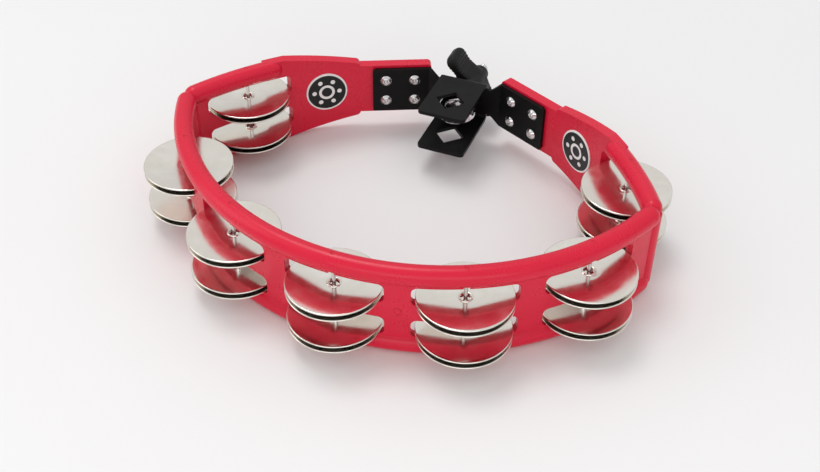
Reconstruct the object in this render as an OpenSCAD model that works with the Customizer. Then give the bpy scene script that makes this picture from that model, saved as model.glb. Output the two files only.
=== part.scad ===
// Tambourine with an open back, made to be held in the hand or clamped on a stand rod.
// A curved front arc carries five jingle stations and each wing carries one more.
// The wings end in tabs, and a steel bracket with a rod clamp joins the two tabs.

/* [Frame] */
// Radius of the front arc, to the middle of its beads
arc_r = 148.5; // [140:0.5:165]
// Height of the frame, over both beads
frame_h = 58; // [56:0.5:72]
// Radius of the round beads along the top and bottom edges
bead_r = 5.7; // [5:0.1:6]
// Depth of the web inside the beads' centre line
web_in = 2; // [1.6:0.1:3]
// Depth of the web outside the beads' centre line
web_out = 3; // [2:0.1:3.5]

/* [Wings] */
// Turn of the frame at each corner, in degrees
corner_turn = 46; // [42:0.5:50]
// Radius of each wing
wing_r = 195; // [185:1:230]
// How far the beads run on past the middle of the wing's jingles; the rest is a plain plate
bead_overrun = 17.5; // [14:0.5:20]
// Depth of the plate inside the beads' centre line
plate_in = 2.1; // [1.7:0.1:3.1]
// Depth of the plate outside the beads' centre line
plate_out = 4.2; // [3.5:0.1:5]
// Height of the plate at the shoulder
shoulder_h = 39; // [36:0.5:44]
// Turn of the tab at the shoulder, in degrees
tab_turn = 5; // [2:0.5:8]
// Length of the tab
tab_len = 45; // [42:0.5:46]
// Height of the tab
tab_h = 34; // [31:0.2:36]

/* [Jingle stations] */
// Width of the web between neighbouring slots on the front arc
slot_spacing = 12.7; // [8:0.1:14]
// Width of the web between the last slot of the front arc and the corner
front_corner_gap = 19.3; // [14:0.1:22]
// Width of the web between the corner and the wing's slot
wing_corner_gap = 11.9; // [9:0.1:14]
// Height of a slot
slot_h = 12; // [11:0.2:12.4]
// Radius of a slot's corners
slot_corner_r = 3.4; // [2.6:0.1:3.8]
// Height of the bar between the lower and the upper slots
slot_bar = 10.5; // [9:0.1:11]
// Room between a jingle's rim and the end of its slot
slot_end_gap = 2.2; // [1.8:0.2:4]

/* [Jingles] */
// Diameter of a jingle
jingle_d = 50.8; // [46:0.2:52]
// Thickness of a jingle's steel
jingle_t = 0.9; // [0.7:0.1:1.1]
// Rise of a jingle's rim above its hub
jingle_rise = 1.3; // [1.1:0.1:1.8]
// Diameter of the hole in a jingle
jingle_hole_d = 5.6; // [4:0.2:6]
// Diameter of a jingle's flat hub
hub_d = 10; // [9:0.5:12]
// Diameter of the bend between a jingle's bell and its flange
bell_d = 27; // [24:0.5:32]
// Rise of that bend above the hub
bell_rise = 1.1; // [0.3:0.1:1.1]
// Diameter of a jingle pin
pin_d = 2.2; // [2:0.1:2.6]
// Clear space between a resting jingle and its slot
rest_gap = 0.45; // [0.35:0.05:0.6]
// Clear space between the hubs of a resting pair
hub_gap = 0.25; // [0.2:0.05:0.4]

/* [Bracket] */
// Thickness of the bracket's steel
steel_t = 2.3; // [1.6:0.1:2.6]
// Height of the bracket
bracket_h = 30.6; // [28:0.2:31]
// Distance from the shoulder to the bracket's edge
bracket_inset = 8; // [7:0.5:9]
// Distance from the shoulder to the first rivets
rivet_inset = 16.3; // [16:0.1:17]
// Distance between rivets along the tab
rivet_pitch = 18; // [16:0.5:19]
// Distance between rivets up the tab
rivet_rise = 14.5; // [12:0.5:16]
// Half the width of the straight middle of the bracket, to the bends
bend_x = 24; // [23.6:0.1:26]
// Inside radius of the bracket's bends
bend_r = 3; // [2:0.5:4]
// Radius at the foot of the sloping notches beside the clamp
notch_r = 3; // [2:0.5:4]
// Height of the necks between the notches
neck_h = 18; // [16:0.5:20]
// Width of the clamp plates
clamp_w = 30; // [28:0.5:30]
// Height of the clamp, over both plates
clamp_h = 27.6; // [26:0.2:29]
// Distance from the back plate's middle to the front edge of the clamp plates
clamp_reach = 44; // [42:0.5:50]
// Radius of the corners of the sheet steel
sheet_corner_r = 3; // [2:0.5:4]

/* [Rod clamp] */
// Diameter of the largest rod that the clamp holds
rod_d = 12.7; // [9.5:0.1:12.7]
// Room around that rod in the eye
rod_room = 0.15; // [0.1:0.05:0.3]
// Extra width of the diamond holes over the eye's hole
diamond_room = 0.3; // [0.2:0.1:0.6]
// Thickness of the eye, across its ring
eye_ring = 5.6; // [4.5:0.1:6]
// Height of the eye
eye_h = 8; // [5:0.2:9]
// Radius of the eye's rounded edges
eye_edge_r = 1.4; // [0.8:0.1:1.6]
// Distance of the eye from the back plate, as stored
eye_rest_gap = 2; // [1.8:0.1:2.6]
// Pitch of the bolt's thread
thread_pitch = 1.27; // [1:0.01:1.5]
// Turns of the wing nut that bring the eye in line with the diamond holes
align_turns = 9; // [8.5:0.5:9]
// Diameter of the eye bolt's shank
shank_d = 6.3; // [5:0.1:7]
// Room around the shank in the wing nut
thread_room = 0.05; // [0.02:0.01:0.09]
// Room around the shank in the back plate
plate_room = 0.35; // [0.3:0.05:0.6]
// Length of the bolt beyond the wing nut
bolt_end = 6; // [4:0.5:9]

/* [Wing nut] */
// Diameter of the hub
nut_hub_d = 15; // [14:0.5:17]
// Diameter of the hub's far end
nut_end_d = 11; // [10:0.5:13]
// Length of the hub
nut_hub_len = 29; // [26:0.5:32]
// Distance from the bolt's axis to a wing's tip
nut_wing_reach = 24; // [20:0.5:24.5]
// Width of a wing along the bolt
nut_wing_w = 18; // [14:0.5:19]
// Thickness of a wing
nut_wing_t = 6; // [5:0.5:7]
// Angle of the stored wings, in degrees
nut_wing_deg = 130; // [0:5:180]
// Outside diameter of the threaded metal insert
insert_d = 10; // [9:0.5:11]
// Clear space between the wing nut and the back plate
nut_gap = 0.3; // [0.3:0.05:0.5]

/* [Fasteners and badges] */
// Diameter of a rivet's head
rivet_head_d = 6.8; // [6:0.2:7.6]
// Height of a rivet's head
rivet_head_h = 1.9; // [1.4:0.1:2.2]
// Diameter of a rivet's shank
rivet_d = 3.4; // [3:0.1:4]
// Diameter of a rivet's closed end
rivet_tail_d = 5.4; // [4.8:0.2:6]
// Height of a rivet's closed end
rivet_tail_h = 1.2; // [0.8:0.1:1.6]
// Diameter of a badge
badge_d = 26.6; // [22:0.2:28]
// Thickness of a badge
badge_t = 0.9; // [0.6:0.1:1.4]
// Distance from the wing's slot to a badge's edge
badge_gap = 9.6; // [6:0.2:12]
// Distance from a badge's edge to the shoulder
shoulder_gap = 8.7; // [7:0.1:14]
// Height of a badge's middle above the frame's middle
badge_lift = 1; // [-2:0.5:2]

/* [Hidden] */
$fn = 96;
// Stations 1 and 7 stand on the wings, and 2 to 6 on the front arc.
STATIONS = [1 : 7];
LEVELS = ["lower", "upper"];
DISCS = ["base", "top"];

// Overlap of solids and of cuts that meet in one piece
lap = 0.5;
// How far a cutting tool reaches past what it cuts
past = 12;
half_h = frame_h / 2;
bead_z = half_h - bead_r;
rad = 180 / PI;

// Stations along the frame: half a slot, then the web that stands between slots
jingle_r = jingle_d / 2;
slot_half = jingle_r + slot_end_gap;
slot_level = (slot_h + slot_bar) / 2;
station_deg = (2 * slot_half + slot_spacing) / arc_r * rad;
corner_deg = 2 * station_deg + (slot_half + front_corner_gap) / arc_r * rad;
wing_station = wing_corner_gap + slot_half;
wing_bead_len = wing_station + bead_overrun;
badge_place = wing_station + slot_half + badge_gap + badge_d / 2;
wing_len = badge_place + badge_d / 2 + shoulder_gap;

// Right wing in plan: an arc that leaves the corner at heading wing_start_deg.
wing_start_deg = corner_deg + corner_turn;
corner = arc_r * [sin(corner_deg), -cos(corner_deg)];
wing_centre = corner + wing_r * [-sin(wing_start_deg), cos(wing_start_deg)];
function wing_heading(s) = wing_start_deg + s / wing_r * rad;
function wing_point(s) = wing_centre + wing_r * [sin(wing_heading(s)), -cos(wing_heading(s))];

// Right tab: its own frame has x along the tab, y inwards and z up.
tab_start = wing_point(wing_len);
tab_deg = wing_heading(wing_len) + tab_turn;
tab_along = [cos(tab_deg), sin(tab_deg)];
tab_inwards = [-sin(tab_deg), cos(tab_deg)];
function tab_point(a, inwards) = tab_start + a * tab_along + inwards * tab_inwards;

// Sheet steel lies on the tab's inner face, then bends to run straight across the back.
sheet_mid = plate_in + steel_t / 2;
bend_turn = 180 - tab_deg;
bend_mid_r = bend_r + steel_t / 2;
bend_along = (tab_point(0, sheet_mid)[0] - bend_x) / -tab_along[0];
strip_y = tab_point(bend_along, sheet_mid)[1];
strip_back = strip_y + steel_t / 2;
strip_front = strip_y - steel_t / 2;
bend_tangent = bend_mid_r * tan(bend_turn / 2);

// Rod clamp
eye_bore_r = rod_d / 2 + rod_room;
eye_r = eye_bore_r + eye_ring;
eye_y = strip_front - eye_rest_gap - eye_r;
align_travel = align_turns * thread_pitch;
diamond_y = eye_y - align_travel;
diamond_side = 2 * eye_bore_r + diamond_room;
nut_y = strip_back + nut_gap;
bolt_end_y = nut_y + nut_hub_len + bolt_end;

// Jingles: the lower one of a pair has its rim down, and the upper one has its rim up.
base_hub = -slot_h / 2 + rest_gap + jingle_rise + jingle_t;
top_hub = base_hub + hub_gap;

// The origin is below the middle of the whole object, on the surface that it lies on.
front_y = -arc_r - jingle_r;
shift_y = -(front_y + bolt_end_y) / 2;
module placed() {
    translate([0, shift_y, half_h]) children();
}

// Left side: the same shape, mirrored.
module on_side(right) {
    mirror([right ? 0 : 1, 0, 0]) children();
}

// Stations: x along the frame, y outwards and z up. Station 1 is on the left wing.
function on_wing(n) = n == 1 || n == 7;
function station_deg_of(n) = (n - 4) * station_deg;
module at_wing(s) {
    translate(wing_point(s)) rotate(wing_heading(s) + 180) children();
}
module at_station(n) {
    if (on_wing(n)) {
        on_side(n == 7) at_wing(wing_station) children();
    } else {
        rotate(station_deg_of(n)) translate([0, -arc_r]) rotate(180) children();
    }
}
module at_tab() {
    translate(tab_start) rotate(tab_deg) children();
}

// Points on an arc about (x, y), for outlines that need no true curve
arc_steps = 6;
function arc_points(x, y, r, from, to) =
    [for (i = [0 : arc_steps]) let (a = from + (to - from) * i / arc_steps) [x + r * cos(a), y + r * sin(a)]];

// Piece of a ring about the wing's centre, from s0 to s1 along the wing
module wing_sweep(s0, s1) {
    translate(wing_centre)
        rotate(wing_heading(s0) - 90)
        rotate_extrude(angle = (s1 - s0) / wing_r * rad)
        translate([wing_r, 0])
        children();
}
module front_sweep(half_deg) {
    rotate(-90 - half_deg)
        rotate_extrude(angle = 2 * half_deg)
        translate([arc_r, 0])
        children();
}

// ---- Frame ----
module web_section() {
    translate([-web_in, -bead_z]) square([web_in + web_out, 2 * bead_z]);
}
module bead_section() {
    web_section();
    for (z = [-bead_z, bead_z]) translate([0, z]) circle(r = bead_r);
}
// The plate starts just below the beads' crests.
plate_top = half_h - 0.4;
module plate_section() {
    translate([-plate_in, -plate_top]) square([plate_in + plate_out, 2 * plate_top]);
}
// Outline of the plate and its tab, seen square to the tab: x along it from the shoulder
taper_start = wing_bead_len + bead_r - wing_len;
shoulder_r = 3;
tip_r = 2.5;
function upper_edge() = concat(
    [[-wing_len, half_h], [taper_start, half_h]],
    arc_points(-shoulder_r, shoulder_h / 2 - shoulder_r, shoulder_r, 80, 0),
    [[0, tab_h / 2]],
    arc_points(tab_len - tip_r, tab_h / 2 - tip_r, tip_r, 90, 0)
);
function downwards(points) = [for (i = [len(points) - 1 : -1 : 0]) [points[i][0], -points[i][1]]];
module plate_and_tab() {
    intersection() {
        union() {
            wing_sweep(wing_bead_len - bead_r, wing_len + lap) plate_section();
            at_tab()
                translate([-lap, -plate_out, -half_h])
                cube([tab_len + lap, plate_in + plate_out, frame_h]);
        }
        at_tab()
            rotate([90, 0, 0])
            translate([0, 0, -2 * past])
            linear_extrude(height = 5 * past)
            polygon(concat(upper_edge(), downwards(upper_edge())));
    }
}
// Round ends of the two beads at one place; a little slimmer than the bead that they close
end_r = bead_r - 0.1;
module bead_ends(place) {
    for (z = [-bead_z, bead_z]) translate([place[0], place[1], z]) sphere(r = end_r);
}
corner_gap = 1.4 * bead_r;
front_bead_deg = corner_deg - corner_gap / 2 / arc_r * rad;
function front_point(deg) = arc_r * [sin(deg), -cos(deg)];
corner_post_r = 4.6;
module corner_post() {
    translate([corner[0], corner[1], -bead_z]) cylinder(r = corner_post_r, h = 2 * bead_z);
}
module round_rectangle(w, h, r) {
    square([w - 2 * r, h], center = true);
    square([w, h - 2 * r], center = true);
    for (x = [-1, 1], y = [-1, 1]) translate([x * (w / 2 - r), y * (h / 2 - r)]) circle(r = r);
}
// The notch above a slot lets the pin through the web's outer face.
notch_d = 3.4;
pin_cover = 0.8;
pin_bottom = -half_h + pin_cover + 1;
module station_cut() {
    for (z = [-slot_level, slot_level]) {
        translate([0, 0, z])
            rotate([90, 0, 0])
            linear_extrude(height = 2 * past, center = true)
            round_rectangle(2 * slot_half, slot_h, slot_corner_r);
        translate([0, 0, z + slot_h / 2]) rotate([-90, 0, 0]) cylinder(d = notch_d, h = past);
    }
    translate([0, 0, pin_bottom]) cylinder(d = pin_d, h = frame_h);
}
module front() {
    difference() {
        front_sweep(front_bead_deg) bead_section();
        for (n = [2 : 6]) at_station(n) station_cut();
    }
}
rivet_holes_z = [-rivet_rise / 2, rivet_rise / 2];
rivet_holes_a = [rivet_inset, rivet_inset + rivet_pitch];
module at_rivets() {
    at_tab() for (a = rivet_holes_a, z = rivet_holes_z) translate([a, 0, z]) rotate([-90, 0, 0]) children();
}
module right_wing() {
    difference() {
        union() {
            wing_sweep(corner_gap / 2, wing_bead_len) bead_section();
            bead_ends(wing_point(wing_bead_len));
            plate_and_tab();
        }
        at_wing(wing_station) station_cut();
        at_rivets() cylinder(d = rivet_d, h = 3 * past, center = true);
    }
    bead_ends(wing_point(corner_gap / 2));
    bead_ends(front_point(front_bead_deg));
    corner_post();
}
mark_d = 5;
mark_rise = 0.35;
module moulding_mark() {
    rotate(-station_deg / 2)
        translate([0, -arc_r - web_out, 0])
        rotate([90, 0, 0])
        difference() {
            translate([0, 0, -lap]) cylinder(d = mark_d, h = mark_rise + lap);
            cylinder(d = mark_d - 1.4, h = past);
        }
}
module frame() {
    color("crimson") placed() {
        front();
        for (right = [false, true]) on_side(right) right_wing();
        mirror([1, 0, 0]) moulding_mark();
    }
}

// ---- Bracket and its rivets ----
// Sheet steel in plan: the right half's outline, from the back of the strip round the bend and the
// tab's end to the front of the strip
bend_axis = [tab_point(bend_along - bend_tangent, sheet_mid + bend_mid_r)[0], strip_front - bend_r];
function half_plan() = concat(
    arc_points(bend_axis[0], bend_axis[1], bend_r + steel_t, 90, 90 - bend_turn),
    [tab_point(bracket_inset, plate_in), tab_point(bracket_inset, plate_in + steel_t)],
    arc_points(bend_axis[0], bend_axis[1], bend_r, 90 - bend_turn, 90)
);
function mirrored(points) = [for (i = [len(points) - 1 : -1 : 0]) [-points[i][0], points[i][1]]];
// The rounded outlines that trim the steel's corners stand off its straight edges by this much.
trim = 0.12;
tab_end_x = tab_point(bracket_inset, plate_in)[0];
module strip_and_tabs() {
    intersection() {
        translate([0, 0, -bracket_h / 2])
            linear_extrude(height = bracket_h)
            polygon(concat(half_plan(), mirrored(half_plan())));
        translate([0, bend_axis[1], 0])
            rotate([90, 0, 0])
            linear_extrude(height = 6 * past, center = true)
            round_rectangle(2 * (tab_end_x + trim), bracket_h + 2 * trim, sheet_corner_r);
    }
}
// Clamp from the side: two plates and a back wall, with round bends
u_bend_r = 2;
u_axis_y = strip_front - u_bend_r;
u_axis_z = clamp_h / 2 - steel_t - u_bend_r;
clamp_front = strip_y - clamp_reach;
function upper_side() = concat(
    [[clamp_front, clamp_h / 2]],
    arc_points(u_axis_y, u_axis_z, u_bend_r + steel_t, 90, 0)
);
function upper_inside() = concat(
    arc_points(u_axis_y, u_axis_z, u_bend_r, 0, 90),
    [[clamp_front, clamp_h / 2 - steel_t]]
);
module clamp_plates() {
    plan_depth = clamp_reach + past;
    intersection() {
        rotate([90, 0, 90])
            linear_extrude(height = clamp_w, center = true)
            polygon(concat(upper_side(), downwards(upper_side()), downwards(upper_inside()), upper_inside()));
        translate([0, clamp_front - trim + plan_depth / 2, -half_h])
            linear_extrude(height = frame_h)
            round_rectangle(clamp_w + 2 * trim, plan_depth, sheet_corner_r);
    }
}
// Everything above the neck goes, and the steel slopes from the neck up to the bracket's full height
notch_slope = 45;
foot_x = clamp_w / 2 + 1.2;
module notch_outline() {
    foot = arc_points(foot_x, neck_h / 2 + notch_r, notch_r, -90, notch_slope - 90);
    top = foot[arc_steps] + half_h * [cos(notch_slope), sin(notch_slope)];
    polygon(concat(foot, [top], mirrored(concat(foot, [top]))));
}
module bracket() {
    color("dimgray") placed() difference() {
        union() {
            difference() {
                strip_and_tabs();
                for (up = [0, 1])
                    mirror([0, 0, up])
                    translate([0, strip_y, 0])
                    rotate([90, 0, 0])
                    linear_extrude(height = 2 * past, center = true)
                    notch_outline();
            }
            clamp_plates();
        }
        translate([0, diamond_y, 0]) rotate(45) cube([diamond_side, diamond_side, frame_h], center = true);
        translate([0, strip_y, 0])
            rotate([90, 0, 0])
            cylinder(r = shank_d / 2 + plate_room, h = 3 * steel_t, center = true);
        for (right = [false, true]) on_side(right) at_rivets() cylinder(d = rivet_d, h = past);
    }
}
// Head on the bracket, shank through bracket and tab, closed end on the tab's outer face
head_ball_r = (pow(rivet_head_d / 2, 2) + pow(rivet_head_h, 2)) / (2 * rivet_head_h);
module rivet() {
    head_base = plate_in + steel_t;
    intersection() {
        translate([0, 0, head_base + rivet_head_h - head_ball_r]) sphere(r = head_ball_r);
        translate([0, 0, head_base]) cylinder(d = 2 * rivet_head_d, h = past);
    }
    translate([0, 0, -plate_out]) cylinder(d = rivet_d, h = plate_out + head_base + rivet_head_h / 2);
    translate([0, 0, -plate_out - rivet_tail_h]) cylinder(d = rivet_tail_d, h = rivet_tail_h);
}
module rivets(right) {
    color("silver") placed() on_side(right) at_rivets() rivet();
}

// ---- Badges ----
module badge(right) {
    color("black") placed() on_side(right) intersection() {
        wing_sweep(badge_place - badge_d, badge_place + badge_d / 2 + past)
            translate([-plate_in - badge_t, -half_h])
            square([badge_t, frame_h]);
        at_wing(badge_place)
            translate([0, 0, badge_lift])
            rotate([90, 0, 0])
            cylinder(d = badge_d, h = past);
    }
}

// ---- Rod clamp: eye bolt, wing nut and insert ----
module eye_section() {
    translate([eye_bore_r, -eye_h / 2 + eye_edge_r]) square([eye_ring, eye_h - 2 * eye_edge_r]);
    translate([eye_bore_r + eye_edge_r, -eye_h / 2]) square([eye_ring - 2 * eye_edge_r, eye_h]);
    for (x = [eye_edge_r, eye_ring - eye_edge_r], z = [-1, 1])
        translate([eye_bore_r + x, z * (eye_h / 2 - eye_edge_r)]) circle(r = eye_edge_r);
}
module along_bolt(y) {
    translate([0, y, 0]) rotate([-90, 0, 0]) children();
}
bolt_chamfer = 0.8;
module eye_bolt() {
    shank_start = eye_y + eye_r - eye_ring / 2;
    color("silver") placed() {
        translate([0, eye_y, 0]) rotate_extrude() eye_section();
        along_bolt(shank_start) cylinder(d = shank_d, h = bolt_end_y - shank_start - bolt_chamfer);
        along_bolt(bolt_end_y - bolt_chamfer)
            cylinder(d1 = shank_d, d2 = shank_d - 2 * bolt_chamfer, h = bolt_chamfer);
    }
}
foot_len = 7;
module nut_wing() {
    tip_x = nut_wing_reach - nut_wing_w / 3;
    wing_y = nut_y + foot_len + nut_wing_w / 2;
    corner_r = nut_wing_w / 3;
    translate([0, wing_y, -nut_wing_t / 2]) {
        translate([0, -nut_wing_w / 2]) cube([tip_x, nut_wing_w, nut_wing_t]);
        translate([tip_x - lap, -nut_wing_w / 2 + corner_r])
            cube([nut_wing_reach - tip_x + lap, nut_wing_w - 2 * corner_r, nut_wing_t]);
        for (side = [-1, 1])
            translate([nut_wing_reach - corner_r, side * (nut_wing_w / 2 - corner_r)])
                cylinder(r = corner_r, h = nut_wing_t);
    }
}
insert_len = 0.7 * nut_hub_len;
module wing_nut() {
    color("black") placed() difference() {
        union() {
            along_bolt(nut_y) cylinder(d1 = nut_hub_d, d2 = nut_end_d, h = nut_hub_len);
            for (half = [0, 180]) rotate([0, -nut_wing_deg + half, 0]) nut_wing();
        }
        along_bolt(nut_y - lap) cylinder(d = insert_d, h = insert_len + lap);
        along_bolt(nut_y) cylinder(d = shank_d + 2 * plate_room, h = nut_hub_len + past);
    }
}
module nut_insert() {
    color("gold") placed() difference() {
        along_bolt(nut_y) cylinder(d = insert_d, h = insert_len);
        along_bolt(nut_y - lap) cylinder(r = shank_d / 2 + thread_room, h = insert_len + 2 * lap);
    }
}

// ---- Jingles and their pins ----
module jingle_section() {
    hole_r = jingle_hole_d / 2;
    hub_r = hub_d / 2;
    bell_r = bell_d / 2;
    edge_r = jingle_t / 2;
    ring_r = 0.55;
    under = [[hole_r, 0], [hub_r, 0], [bell_r, bell_rise], [jingle_r - edge_r, jingle_rise]];
    over = [for (i = [3 : -1 : 0]) under[i] + [0, jingle_t]];
    polygon(concat(under, over));
    translate([jingle_r - edge_r, jingle_rise + edge_r]) circle(r = edge_r);
    translate([hole_r + ring_r, jingle_t]) circle(r = ring_r);
}
module jingle(n, level, disc) {
    z = (level == "upper" ? slot_level : -slot_level) + (disc == "top" ? top_hub : base_hub);
    color("gainsboro") placed()
        at_station(n)
        translate([0, 0, z])
        mirror([0, 0, disc == "top" ? 0 : 1])
        rotate_extrude()
        jingle_section();
}
module jingle_pin(n) {
    color("silver") placed()
        at_station(n)
        translate([0, 0, pin_bottom])
        cylinder(d = pin_d, h = half_h - pin_cover - pin_bottom);
}

frame();
bracket();
rivets(false);  // rivets_left
rivets(true);  // rivets_right
badge(false);  // badge_left
badge(true);  // badge_right
eye_bolt();
wing_nut();
nut_insert();
for (n = STATIONS) {
    jingle_pin(n);
    for (v = LEVELS, d = DISCS)
        jingle(n, v, d);
}
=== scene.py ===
import math

import bmesh
import bpy
from mathutils import Matrix, Vector


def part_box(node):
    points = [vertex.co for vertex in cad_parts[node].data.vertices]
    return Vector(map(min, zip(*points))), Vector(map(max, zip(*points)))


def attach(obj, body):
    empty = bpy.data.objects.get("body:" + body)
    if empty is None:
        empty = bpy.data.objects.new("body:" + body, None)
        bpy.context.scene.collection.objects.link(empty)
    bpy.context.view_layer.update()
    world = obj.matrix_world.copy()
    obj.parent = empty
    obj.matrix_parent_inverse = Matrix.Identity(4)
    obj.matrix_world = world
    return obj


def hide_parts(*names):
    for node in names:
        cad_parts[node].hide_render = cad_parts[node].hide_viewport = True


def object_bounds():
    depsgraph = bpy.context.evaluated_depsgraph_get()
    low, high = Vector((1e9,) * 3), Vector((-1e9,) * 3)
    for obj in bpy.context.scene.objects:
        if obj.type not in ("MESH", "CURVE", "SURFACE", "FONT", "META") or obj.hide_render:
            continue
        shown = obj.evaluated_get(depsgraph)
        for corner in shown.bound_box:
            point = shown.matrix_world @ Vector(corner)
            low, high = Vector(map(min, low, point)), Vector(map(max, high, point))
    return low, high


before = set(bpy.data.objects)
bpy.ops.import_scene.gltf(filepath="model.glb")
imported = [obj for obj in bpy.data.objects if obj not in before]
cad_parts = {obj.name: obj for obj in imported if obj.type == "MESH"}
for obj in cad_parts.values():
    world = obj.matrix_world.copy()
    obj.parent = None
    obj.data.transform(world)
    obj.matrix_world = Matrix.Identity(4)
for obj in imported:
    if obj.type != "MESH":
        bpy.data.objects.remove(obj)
cad_low, cad_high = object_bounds()

# ---- Sizes, in millimetres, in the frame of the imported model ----
MM = 0.001
ARC_R = 148.5
CORNER_TURN = 46
WING_R = 195
WING_LEN = 112
TAB_TURN = 5
SLOT_HALF = 27.6
FRONT_CORNER_GAP = 19.3
PLATE_IN = 2.1
PLATE_OUT = 4.2
STEEL_T = 2.3
RIVET_INSET = 16.3
RIVET_PITCH = 18
RIVET_RISE = 14.5
BADGE_PLACE = 90
BADGE_R = 13.3
JINGLE_T = 0.9
HUB_R = 5.0
BELL_R = 6.5
BELL_RISE = 0.12
THREAD_PITCH = 1.27
THREAD_DEPTH = 0.4
EYE_RING = 5.6
NUT_WING_DEG = 130
NUT_WING_W = 18
NUT_FOOT = 7
NUT_REACH = 23.9
PIN_HOLE_R = 2.8
PIN_PLUG_ROOM = 0.03
STATIONS = range(1, 8)
LEVELS = ("lower", "upper")
DISCS = ("base", "top")


def box_mm(node):
    low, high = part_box(node)
    return low / MM, high / MM


def middle(node):
    low, high = box_mm(node)
    return (low + high) / 2


# The frame's plan, as in the CAD model: a front arc about ARC_CENTRE and a wing arc on each side
HALF_H = cad_high.z / MM / 2
ARC_CENTRE = middle("jingle_pin_4") + Vector((0, ARC_R, 0))
ARC_CENTRE.z = HALF_H
STATION_5 = middle("jingle_pin_5") - ARC_CENTRE
STATION_ANGLE = math.atan2(STATION_5.x, -STATION_5.y)
CORNER_ANGLE = 2 * STATION_ANGLE + (SLOT_HALF + FRONT_CORNER_GAP) / ARC_R
WING_START = CORNER_ANGLE + math.radians(CORNER_TURN)


def bearing(angle):
    """Outward direction at an angle from the front arc's middle."""
    return Vector((math.sin(angle), -math.cos(angle), 0))


WING_CENTRE = ARC_CENTRE + ARC_R * bearing(CORNER_ANGLE) - WING_R * bearing(WING_START)


def axes(origin, along, inwards, left):
    """A placing matrix in millimetres: x along, y inwards and z up, mirrored for the left side."""
    turn = Matrix((along, inwards, Vector((0, 0, 1)))).transposed().to_4x4()
    matrix = Matrix.Translation(origin) @ turn
    return Matrix.Diagonal((-1, 1, 1, 1)) @ matrix if left else matrix


def wing_axes(s, left):
    """Axes at a distance s along a wing, on the middle line of its beads."""
    angle = WING_START + s / WING_R
    along = Vector((math.cos(angle), math.sin(angle), 0))
    return axes(WING_CENTRE + WING_R * bearing(angle), along, -bearing(angle), left)


def tab_axes(left):
    """Axes of a tab, from its shoulder."""
    start = WING_START + WING_LEN / WING_R
    heading = start + math.radians(TAB_TURN)
    along = Vector((math.cos(heading), math.sin(heading), 0))
    return axes(WING_CENTRE + WING_R * bearing(start), along, -bearing(heading), left)


# ---- Mesh helpers ----
def finish_piece(bm, name, materials, body, nodes=(), sharp_deg=35, place=None):
    """A mesh in millimetres becomes a piece in metres that rides on its body."""
    bmesh.ops.recalc_face_normals(bm, faces=bm.faces)
    bmesh.ops.scale(bm, vec=(MM, MM, MM), verts=bm.verts)
    mesh = bpy.data.meshes.new(name)
    bm.to_mesh(mesh)
    bm.free()
    for material in materials:
        mesh.materials.append(material)
    mesh.polygons.foreach_set("use_smooth", [True] * len(mesh.polygons))
    mesh.set_sharp_from_angle(angle=math.radians(sharp_deg))
    piece = bpy.data.objects.new(name, mesh)
    bpy.context.scene.collection.objects.link(piece)
    if place is not None:
        piece.matrix_world = place
    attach(piece, body)
    if nodes:
        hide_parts(*nodes)
    return piece


def at(point, turn=None):
    """A placing matrix from a point in millimetres and a rotation."""
    matrix = Matrix.Translation(Vector(point) * MM)
    return matrix @ turn.to_4x4() if turn else matrix


def lathe(bm, profile, steps=96, ring=True, matrix=None):
    """Turns (radius, height) points about the z axis; ring joins the last point to the first."""
    rows = []
    for i in range(steps):
        angle = 2 * math.pi * i / steps
        turn = Vector((math.cos(angle), math.sin(angle), 0))
        rows.append([bm.verts.new(turn * r + Vector((0, 0, z))) for r, z in profile])
    count = len(profile)
    for i in range(steps):
        here, there = rows[i], rows[(i + 1) % steps]
        for k in range(count if ring else count - 1):
            m = (k + 1) % count
            bm.faces.new((here[k], there[k], there[m], here[m]))
    made = [v for row in rows for v in row]
    if not ring:
        for end, normal in ((0, -1), (-1, 1)):
            if profile[end][0] > 1e-6:
                bm.faces.new([row[end] for row in rows][::normal])
    if matrix is not None:
        bmesh.ops.transform(bm, matrix=matrix, verts=made)
    if not ring:
        bmesh.ops.remove_doubles(bm, verts=made, dist=1e-5)


def skin(bm, rows, close_end=True):
    """Faces between neighbouring closed rows of vertices, and over the first and the last row."""
    for here, there in zip(rows, rows[1:]):
        for i in range(len(here)):
            j = (i + 1) % len(here)
            far = (there[j], there[i]) if len(there) > 1 else (there[0],)
            bm.faces.new((here[i], here[j], *far))
    bm.faces.new(rows[0])
    if close_end:
        bm.faces.new(rows[-1])


def arc(x, y, r, start, end, steps=6):
    """Points on an arc, in degrees."""
    angles = [math.radians(start + (end - start) * i / steps) for i in range(steps + 1)]
    return [(x + r * math.cos(a), y + r * math.sin(a)) for a in angles]


def ease(t):
    """0 to 1 with level ends."""
    return t * t * (3 - 2 * t)


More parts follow.
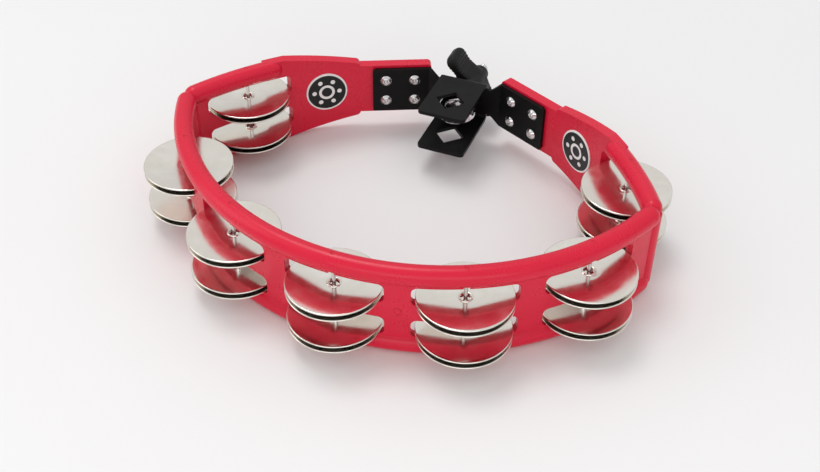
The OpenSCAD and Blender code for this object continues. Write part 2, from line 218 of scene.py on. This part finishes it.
# ---- Material helpers ----
class Shade:
    """A node material: one Principled shader, and short calls that add and join nodes."""

    def __init__(self, name, **uniform):
        self.material = bpy.data.materials.new(name)
        self.material.use_nodes = True
        self.tree = self.material.node_tree
        self.tree.nodes.clear()
        self.out = self.tree.nodes.new("ShaderNodeOutputMaterial")
        self.shader = self.tree.nodes.new("ShaderNodeBsdfPrincipled")
        self.tree.links.new(self.shader.outputs[0], self.out.inputs["Surface"])
        for socket, value in uniform.items():
            self.shader.inputs[socket.replace("_", " ")].default_value = value
        self.coords = self.add("TexCoord").outputs["Object"]

    def add(self, kind, settings=None, **inputs):
        node = self.tree.nodes.new("ShaderNode" + kind)
        for key, value in (settings or {}).items():
            setattr(node, key, value)
        for key, value in inputs.items():
            self.set(node, key.replace("_", " "), value)
        return node

    def set(self, node, key, value):
        """Sets or joins an input, which key names or, as in i0, numbers."""
        by_number = key[0] == "i" and key[1:].isdigit()
        socket = node.inputs[int(key[1:]) if by_number else key]
        if isinstance(value, bpy.types.NodeSocket):
            self.tree.links.new(value, socket)
        else:
            socket.default_value = value

    def math(self, operation, a, b=0.0):
        return self.add("Math", {"operation": operation}, i0=a, i1=b).outputs[0]

    def length(self, a, b):
        """Square root of a squared plus b squared."""
        return self.math("SQRT", self.math("ADD", self.math("MULTIPLY", a, a), self.math("MULTIPLY", b, b)))

    def noise(self, scale, detail=3.0, roughness=0.55, coords=None, distortion=0.0):
        node = self.add("TexNoise", Vector=coords or self.coords, Scale=scale, Detail=detail)
        node.inputs["Roughness"].default_value = roughness
        node.inputs["Distortion"].default_value = distortion
        return node.outputs["Fac"]

    def stretched(self, x, y, z):
        """Object coordinates scaled along each axis, for grain that runs one way."""
        node = self.add("Mapping", Vector=self.coords)
        node.inputs["Scale"].default_value = (x, y, z)
        return node.outputs[0]

    def spread(self, value, low, high, start=0.3, end=0.7):
        """Maps a texture's middle range to low..high."""
        node = self.add("MapRange", Value=value)
        numbers = {"From Min": start, "From Max": end, "To Min": low, "To Max": high}
        for key, number in numbers.items():
            node.inputs[key].default_value = number
        return node.outputs[0]

    def blend(self, share, a, b):
        node = self.add("Mix", {"data_type": "RGBA"})
        self.set(node, "i0", share)
        self.set(node, "i6", (*a, 1) if isinstance(a, tuple) else a)
        self.set(node, "i7", (*b, 1) if isinstance(b, tuple) else b)
        return node.outputs[2]

    def edges(self, radius_mm):
        """1 on rounded-over edges and 0 on flat faces."""
        bevel = self.add("Bevel", {"samples": 6})
        bevel.inputs["Radius"].default_value = radius_mm * MM
        normal = self.add("NewGeometry").outputs["Normal"]
        dot = self.add("VectorMath", {"operation": "DOT_PRODUCT"}, i0=bevel.outputs[0], i1=normal)
        return self.spread(dot.outputs["Value"], 1.0, 0.0, 0.8, 0.99), bevel.outputs[0]

    def use(self, color=None, roughness=None, bumps=(), normal=None):
        """Joins colour, roughness and a chain of (height, strength, distance in mm) bumps to the shader."""
        if color is not None:
            self.set(self.shader, "Base Color", color)
        if roughness is not None:
            self.set(self.shader, "Roughness", roughness)
        for height, strength, distance in bumps:
            bump = self.add("Bump", Height=height)
            bump.inputs["Strength"].default_value = strength
            bump.inputs["Distance"].default_value = distance * MM
            if normal is not None:
                self.set(bump, "Normal", normal)
            normal = bump.outputs[0]
        if normal is not None:
            self.set(self.shader, "Normal", normal)
        return self.material


def red_plastic():
    s = Shade("red_plastic_moulded", Specular_IOR_Level=0.35)
    edge, rounded = s.edges(0.6)
    flow = s.noise(22, 4, coords=s.stretched(1, 1, 3))
    speck = s.noise(900, 2)
    base = s.blend(s.spread(flow, 0, 1), (0.68, 0.006, 0.036), (0.74, 0.009, 0.044))
    # Rounded edges are painted a lighter red: a painted highlight along the edges, not wear.
    painted_edge_highlight = s.blend(s.math("MULTIPLY", edge, 0.3), base, (0.86, 0.05, 0.08))
    rough = s.math("ADD", s.spread(s.noise(60, 5), 0.24, 0.34), s.spread(speck, -0.02, 0.03))
    return s.use(painted_edge_highlight, rough, [(speck, 0.08, 0.02), (s.noise(120, 2), 0.06, 0.05)], rounded)


def jingle_nickel():
    s = Shade("nickel_plated_steel", Metallic=1.0, Anisotropic=0.35)
    parts = s.add("SeparateXYZ", Vector=s.coords)
    radius = s.length(parts.outputs[0], parts.outputs[1])
    lines = s.add("CombineXYZ", X=radius, Y=s.math("MULTIPLY", parts.outputs[2], 0.3))
    groove = s.noise(3200, 3, 0.6, lines.outputs[0])
    broad = s.noise(420, 3, 0.6, lines.outputs[0])
    smudge = s.noise(70, 4, 0.6, distortion=1.2)
    base = s.blend(s.spread(smudge, 0, 1), (0.84, 0.80, 0.73), (0.90, 0.875, 0.82))
    rough = s.math("ADD", s.spread(smudge, 0.10, 0.19), s.spread(groove, -0.02, 0.05))
    return s.use(base, rough, [(groove, 0.10, 0.012), (broad, 0.12, 0.05)])


def black_steel():
    s = Shade("powder_coated_steel", Specular_IOR_Level=0.14)
    edge, rounded = s.edges(0.45)
    grain = s.noise(1500, 3)
    base = s.blend(s.spread(s.noise(90, 4), 0, 1), (0.003, 0.003, 0.003), (0.006, 0.006, 0.006))
    # Rounded edges are painted a lighter grey: a painted highlight along the edges, not wear.
    painted_edge_highlight = s.blend(s.math("MULTIPLY", edge, 0.5), base, (0.03, 0.03, 0.03))
    rough = s.math("ADD", s.spread(s.noise(200, 4), 0.36, 0.48), s.math("MULTIPLY", edge, -0.1))
    return s.use(painted_edge_highlight, rough, [(grain, 0.35, 0.03)], rounded)


def bright_steel(name, low, high, brush=(1, 1, 1), base=(0.80, 0.80, 0.80)):
    s = Shade(name, Metallic=1.0)
    fine = s.noise(1400, 3, 0.6, s.stretched(*brush))
    smudge = s.noise(260, 4)
    tint = tuple(0.88 * c for c in base)
    rough = s.math("ADD", s.spread(smudge, low, high), s.spread(fine, -0.02, 0.04))
    return s.use(s.blend(s.spread(smudge, 0, 1), tint, base), rough, [(fine, 0.15, 0.02)])


def black_plastic():
    s = Shade("black_nylon", Specular_IOR_Level=0.22)
    edge, rounded = s.edges(0.4)
    grain = s.noise(1100, 4)
    base = s.blend(s.spread(s.noise(120, 4), 0, 1), (0.005, 0.005, 0.005), (0.010, 0.010, 0.010))
    # Rounded edges are painted a lighter grey: a painted highlight along the edges, not wear.
    painted_edge_highlight = s.blend(s.math("MULTIPLY", edge, 0.4), base, (0.04, 0.04, 0.04))
    return s.use(painted_edge_highlight, s.spread(s.noise(240, 4), 0.4, 0.55), [(grain, 0.3, 0.04)], rounded)


def badge_print():
    """Black field, white border, and a ring with six dots, printed under a glossy dome."""
    s = Shade("badge_print", Coat_Weight=0.12, Coat_Roughness=0.06, Specular_IOR_Level=0.25)
    parts = s.add("SeparateXYZ", Vector=s.coords)
    x, z = (s.math("DIVIDE", parts.outputs[i], MM) for i in (0, 2))
    dots, dot_circle_r, dot_r = 6, 8.0, 1.4
    ring_r, ring_half_width = 4.2, 0.8
    border_r, border_blur, blur = 12.0, 0.12, 0.1
    radius = s.length(x, z)
    angle = s.math("PINGPONG", s.math("ARCTAN2", z, x), math.pi / dots)
    dot_x = s.math("SUBTRACT", s.math("MULTIPLY", radius, s.math("COSINE", angle)), dot_circle_r)
    dot_z = s.math("MULTIPLY", radius, s.math("SINE", angle))
    from_ring = s.math("ABSOLUTE", s.math("SUBTRACT", radius, ring_r))
    white = s.math(
        "MAXIMUM",
        s.spread(s.length(dot_x, dot_z), 1, 0, dot_r, dot_r + blur),
        s.spread(from_ring, 1, 0, ring_half_width, ring_half_width + blur))
    white = s.math("MAXIMUM", white, s.spread(radius, 0, 1, border_r, border_r + border_blur))
    shade = s.spread(s.noise(300, 4), 0, 1)
    black = s.blend(shade, (0.003, 0.003, 0.003), (0.006, 0.006, 0.006))
    paper = s.blend(shade, (0.82, 0.82, 0.81), (0.9, 0.9, 0.89))
    rough = s.spread(s.noise(150, 4), 0.2, 0.3)
    return s.use(s.blend(white, black, paper), rough, [(s.noise(700, 2), 0.08, 0.03)])


RED = red_plastic()
NICKEL = jingle_nickel()
BLACK_STEEL = black_steel()
BLACK_PLASTIC = black_plastic()
RIVET = bright_steel("rivet_plated", 0.14, 0.24)
CHROME = bright_steel("bolt_chrome_plated", 0.08, 0.16, base=(0.86, 0.86, 0.88))
PIN = bright_steel("pin_wire", 0.16, 0.28, brush=(1, 1, 0.08))
BRASS = bright_steel("insert_brass_turned", 0.2, 0.32, base=(0.78, 0.62, 0.32))
BADGE = badge_print()


# ---- CAD nodes that keep their own mesh ----
def finish_node(node, material):
    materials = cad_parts[node].data.materials
    materials.clear()
    materials.append(material)


finish_node("frame", RED)
finish_node("bracket", BLACK_STEEL)
finish_node("nut_insert", BRASS)


# ---- Jingles ----
def jingle_rise_at(r, rise, rim_r):
    """Height of a jingle's under face: flat hub, soft bell, then a straight flange."""
    if r <= HUB_R:
        return 0.0
    if r <= BELL_R:
        return BELL_RISE * ease((r - HUB_R) / (BELL_R - HUB_R))
    return BELL_RISE + (rise - BELL_RISE) * (r - BELL_R) / (rim_r - BELL_R)


def jingle(n, level, disc):
    """A dished disc with a raised ring about its hole, turned over for the base disc of a pair."""
    node = f"jingle_{n}_{level}_{disc}"
    low, high = box_mm(node)
    centre = (low + high) / 2
    outer_r = (high.x - low.x) / 2
    edge_r = JINGLE_T / 2
    rim_r = outer_r - edge_r
    rise = high.z - low.z - JINGLE_T
    ring_r, hole_chamfer, spans = 0.55, 0.15, 26
    face_start = PIN_HOLE_R + 2 * ring_r
    radii = [face_start + (rim_r - face_start) * i / spans for i in range(spans + 1)]
    under = [(PIN_HOLE_R + hole_chamfer, 0.0)] + [(r, jingle_rise_at(r, rise, rim_r)) for r in radii]
    rim = arc(rim_r, rise + edge_r, edge_r, -80, 80, 7)
    over = [(r, z + JINGLE_T) for r, z in reversed(under[1:])]
    ring = arc(PIN_HOLE_R + ring_r, JINGLE_T, ring_r * 0.98, 20, 180, 8)
    bm = bmesh.new()
    lathe(bm, under + rim + over + ring, 112)
    flip = 1 if disc == "top" else -1
    bmesh.ops.scale(bm, vec=(1, 1, flip), verts=bm.verts)
    hub_z = low.z if disc == "top" else high.z
    place = at((centre.x, centre.y, hub_z))
    finish_piece(bm, f"{node}_disc", [NICKEL], node, [node], 40, place)


def pin(n):
    """A straight wire with rounded ends."""
    node = f"jingle_pin_{n}"
    low, high = box_mm(node)
    centre, r = (low + high) / 2, (high.x - low.x) / 2
    end_round = 0.3
    profile = [(0, 0), *arc(r - end_round, end_round, end_round, -90, 0, 3)]
    length = high.z - low.z
    profile += [(x, length - z) for x, z in reversed(profile)]
    bm = bmesh.new()
    lathe(bm, profile, 32, ring=False)
    place = at((centre.x, centre.y, low.z))
    finish_piece(bm, f"{node}_wire", [PIN], "frame", [node], 50, place)


for n in STATIONS:
    pin(n)
    for level in LEVELS:
        for disc in DISCS:
            jingle(n, level, disc)


def pin_plugs():
    """Red plugs that close the pins' holes on top of the beads, each a little dished."""
    bm = bmesh.new()
    for n in STATIONS:
        node = f"jingle_pin_{n}"
        low, high = box_mm(node)
        centre, r = (low + high) / 2, (high.x - low.x) / 2 - PIN_PLUG_ROOM
        depth = 2 * HALF_H - high.z
        profile = [(0, 0.1), (r, 0.1), (r, depth - 0.22), (0.7 * r, depth - 0.3), (0, depth - 0.34)]
        lathe(bm, profile, 24, ring=False, matrix=Matrix.Translation((centre.x, centre.y, high.z)))
    finish_piece(bm, "pin_plugs", [RED], "frame")


pin_plugs()


# ---- Rivets and badges ----
def rivets(side):
    """Four rivets: a domed head with a groove on the bracket, and a rolled end on the tab's outer face."""
    bm = bmesh.new()
    tab = tab_axes(side == "left")
    inwards = Matrix.Rotation(-math.pi / 2, 4, "X")
    outwards = Matrix.Rotation(math.pi / 2, 4, "X")
    face = PLATE_IN + STEEL_T
    dome_r = 3.92
    dome = arc(0, -dome_r / 2, dome_r, 30, 56, 6)
    head = [(0, 0.02), (3.3, 0.02), (3.42, 0.14), *dome, (2.0, 1.5), (1.75, 1.52), (1.55, 1.42)]
    head += [(1.45, 0.8), (1.2, 0.72), (0.95, 1.05), (0.5, 1.28), (0, 1.34)]
    tail = [(0, 0), (2.45, 0), (2.7, 0.25), (2.7, 0.7), (2.3, 1.1), (1.2, 1.18), (1.0, 0.7), (0, 0.6)]
    for a in (RIVET_INSET, RIVET_INSET + RIVET_PITCH):
        for z in (-RIVET_RISE / 2, RIVET_RISE / 2):
            lathe(bm, head, 40, False, tab @ Matrix.Translation((a, face, z)) @ inwards)
            lathe(bm, tail, 40, False, tab @ Matrix.Translation((a, -PLATE_OUT, z)) @ outwards)
    node = f"rivets_{side}"
    finish_piece(bm, f"{node}_formed", [RIVET], "frame", [node], 50)


def badge(side):
    """A thin domed disc bent to the wing's inner face, in its own axes so that the print follows it."""
    node = f"badge_{side}"
    lift = middle(node).z - HALF_H
    place = wing_axes(BADGE_PLACE, side == "left") @ Matrix.Translation((0, 0, lift))
    face_r = WING_R - PLATE_IN
    edge_round, dome_h, dome_rings, steps = 0.35, 0.18, 12, 72
    flat_h = 2 * edge_round
    rings = [(BADGE_R, 0), (BADGE_R, edge_round)]
    rings += arc(BADGE_R - edge_round, edge_round, edge_round, 15, 90, 4)
    for i in range(dome_rings - 1, -1, -1):
        share = i / dome_rings
        rings.append((BADGE_R * share, flat_h + dome_h * (1 - share ** 2)))
    bm = bmesh.new()
    rows = []
    for r, h in rings:
        row = []
        for i in range(steps if r else 1):
            angle = 2 * math.pi * i / steps
            around, z = r * math.cos(angle) / WING_R, r * math.sin(angle)
            x, y = (face_r - h) * math.sin(around), WING_R - (face_r - h) * math.cos(around)
            row.append(bm.verts.new((x, y, z)))
        rows.append(row)
    skin(bm, rows, close_end=False)
    scaled = place.copy()
    scaled.translation *= MM
    finish_piece(bm, f"{node}_disc", [BADGE], "frame", [node], 40, scaled)


for side in ("left", "right"):
    rivets(side)
    badge(side)


# ---- Rod clamp: eye bolt and wing nut ----
def eye_bolt():
    """A round-edged ring, and a shank with a helical thread and a chamfered end."""
    low, high = box_mm("eye_bolt")
    eye_r = (high.x - low.x) / 2
    eye_y, axis_z = low.y + eye_r, (low.z + high.z) / 2
    half_eye = (high.z - low.z) / 2
    corner = 2.2
    inner, outer = eye_r - EYE_RING + corner, eye_r - corner
    section = []
    for x, z, start in ((outer, 1, 0), (inner, 1, 90), (inner, -1, 180), (outer, -1, 270)):
        section += arc(x, z * (half_eye - corner), corner, start, start + 90, 6)
    bm = bmesh.new()
    lathe(bm, section, 96, True, Matrix.Translation((0, eye_y, axis_z)))
    shank_r, chamfer_len, end_share = 3.15, 0.8, 0.78
    thread_flat = 2.4
    start, end = eye_y + eye_r - EYE_RING / 2, high.y
    rows, steps, per_turn = [], 24, 8
    count = int((end - start) / THREAD_PITCH * per_turn)
    for k in range(count + 1):
        y = start + (end - start) * k / count
        chamfer = min(1.0, (end - y) / chamfer_len)
        row = []
        for i in range(steps):
            angle = 2 * math.pi * i / steps
            phase = (y / THREAD_PITCH + i / steps) % 1
            cut = THREAD_DEPTH * min(1.0, thread_flat * abs(phase - 0.5))
            r = (shank_r - cut) * (end_share + (1 - end_share) * chamfer)
            row.append(bm.verts.new((r * math.cos(angle), y, axis_z + r * math.sin(angle))))
        rows.append(row)
    skin(bm, rows)
    finish_piece(bm, "eye_bolt_threaded", [CHROME], "eye_bolt", ["eye_bolt"], 60)


def wing_thickness(x):
    """Thick where the wing leaves the hub, thin at its waist and full again at its tip."""
    waist, root_extra, root_len = 4.9, 7.5, 8.5
    tip_extra, rib_h, rib_pitch = 2.6, 0.5, 2.2
    root = root_extra * math.exp(-((x / root_len) ** 2))
    tip = tip_extra * ease(min(1.0, max(0.0, (x - 0.5 * NUT_REACH) / (0.36 * NUT_REACH))))
    ribbed = 0.42 * NUT_REACH < x < 0.8 * NUT_REACH
    grip = rib_h * math.cos(2 * math.pi * x / rib_pitch) if ribbed else 0.0
    return waist + root + tip + grip


def nut_wing(bm, matrix):
    """One wing: rounded-box sections from inside the hub out to a rounded tip."""
    steps, corner, root_x = 32, 5.5, 2.0
    step, tip_step = 0.21, 0.07
    width_power, thickness_power = 0.28, 0.36
    rows = []
    x = root_x
    while x < NUT_REACH - 1e-4:
        near_tip = max(0.0, (x - (NUT_REACH - corner)) / corner)
        close = math.sqrt(max(0.0, 1 - near_tip ** 2))
        half_w = NUT_WING_W / 2 - corner * 0.9 * (1 - close)
        half_t = wing_thickness(x) / 2 * max(close, 0.02) ** 0.6
        row = []
        for i in range(steps):
            angle = 2 * math.pi * (i + 0.5) / steps
            c, q = math.cos(angle), math.sin(angle)
            y = half_w * math.copysign(abs(c) ** width_power, c)
            z = half_t * math.copysign(abs(q) ** thickness_power, q)
            row.append(bm.verts.new((x, y, z)))
        rows.append(row)
        x += step if near_tip < 0.75 else tip_step
    skin(bm, rows)
    bmesh.ops.transform(bm, matrix=matrix, verts=[v for row in rows for v in row])


def wing_nut():
    """A tapering hub with a foot flange, hollow for the insert, and two ribbed wings."""
    low, high = box_mm("wing_nut")
    axis = Vector((0, 0, middle("eye_bolt").z))
    length, bore = high.y - low.y, 3.55
    bm = bmesh.new()
    along_bolt = Matrix.Translation(axis + Vector((0, low.y, 0))) @ Matrix.Rotation(-math.pi / 2, 4, "X")
    hub = [(5.05, 0.05), (7.1, 0.05), (7.5, 0.5), (7.4, 2.2), (6.9, 2.5), (6.9, 3.6), (7.3, 3.9)]
    hub += [(6.2, 0.72 * length), *arc(4.7, length - 0.85, 0.8, 10, 90, 4)]
    hub += [(bore + 0.3, length - 0.05), (bore, length - 0.4), (bore, 0.71 * length), (5.05, 0.7 * length)]
    lathe(bm, hub, 72, True, along_bolt)
    wing_y = low.y + NUT_FOOT + NUT_WING_W / 2
    for half in (0, 180):
        turn = Matrix.Rotation(math.radians(half - NUT_WING_DEG), 4, "Y")
        nut_wing(bm, Matrix.Translation(axis + Vector((0, wing_y, 0))) @ turn)
    finish_piece(bm, "wing_nut_body", [BLACK_PLASTIC], "wing_nut", ["wing_nut"], 40)


eye_bolt()
wing_nut()


# ---- Size, camera, lights and floor ----
def look_camera(target, distance, azimuth, elevation, roll, lens):
    """A camera at a distance in millimetres from its target, with angles in degrees."""
    a, e, r = (math.radians(v) for v in (azimuth, elevation, roll))
    back = Vector((math.sin(a) * math.cos(e), -math.cos(a) * math.cos(e), math.sin(e)))
    side = Vector((math.cos(a), math.sin(a), 0))
    up = back.cross(side)
    right = math.cos(r) * side + math.sin(r) * up
    top = math.cos(r) * up - math.sin(r) * side
    turn = Matrix((right, top, back)).transposed()
    data = bpy.data.cameras.new("camera")
    data.sensor_width = 36
    data.lens = lens
    data.clip_start, data.clip_end = 0.01, 50
    camera = bpy.data.objects.new("camera", data)
    camera.matrix_world = at(Vector(target) + distance * back, turn)
    bpy.context.scene.collection.objects.link(camera)
    bpy.context.scene.camera = camera


def area_light(name, place, target, size, watts):
    data = bpy.data.lights.new(name, "AREA")
    data.shape = "RECTANGLE"
    data.size, data.size_y = size
    data.energy = watts
    light = bpy.data.objects.new(name, data)
    light.location = place
    light.rotation_euler = (Vector(target) - Vector(place)).to_track_quat("-Z", "Y").to_euler()
    bpy.context.scene.collection.objects.link(light)


def sun(name, direction, angle, strength):
    data = bpy.data.lights.new(name, "SUN")
    data.angle = math.radians(angle)
    data.energy = strength
    light = bpy.data.objects.new(name, data)
    light.rotation_euler = Vector(direction).to_track_quat("-Z", "Y").to_euler()
    bpy.context.scene.collection.objects.link(light)


def studio():
    """A soft room that is brighter overhead, a key from above and two boxes."""
    world = bpy.data.worlds.new("studio")
    world.use_nodes = True
    nodes, links = world.node_tree.nodes, world.node_tree.links
    place = nodes.new("ShaderNodeTexCoord")
    parts = nodes.new("ShaderNodeSeparateXYZ")
    ramp = nodes.new("ShaderNodeValToRGB")
    links.new(place.outputs["Generated"], parts.inputs[0])
    links.new(parts.outputs[2], ramp.inputs[0])
    links.new(ramp.outputs[0], nodes["Background"].inputs[0])
    ramp.color_ramp.elements[0].color = (0.52, 0.52, 0.52, 1)
    ramp.color_ramp.elements[1].color = (0.98, 0.98, 0.975, 1)
    ramp.color_ramp.elements[1].position = 0.6
    nodes["Background"].inputs[1].default_value = 0.76
    bpy.context.scene.world = world
    bpy.context.scene.view_settings.view_transform = "Standard"
    sun("key", (0.30, -0.25, -1), 24, 0.75)
    area_light("left_box", (-0.9, -0.35, 0.55), (0, 0, 0.03), (0.5, 0.9), 1.4)
    area_light("front_box", (0.3, -1.0, 0.42), (0, -0.05, 0.03), (1.4, 0.4), 2.6)


def floor():
    s = Shade("pale_floor")
    paint = s.blend(s.spread(s.noise(6, 3), 0, 1), (0.865, 0.865, 0.865), (0.875, 0.875, 0.875))
    s.use(paint, s.spread(s.noise(40, 3), 0.75, 0.85))
    bm = bmesh.new()
    bmesh.ops.create_grid(bm, x_segments=8, y_segments=8, size=6)
    mesh = bpy.data.meshes.new("floor")
    bm.to_mesh(mesh)
    bm.free()
    mesh.materials.append(s.material)
    ground = bpy.data.objects.new("floor", mesh)
    ground.location.z = cad_low.z
    bpy.context.scene.collection.objects.link(ground)


look_camera(
    target=(23.1, -57.4, 40), distance=623.2, azimuth=21.51, elevation=40.88, roll=0.64, lens=51.7)
studio()
floor()
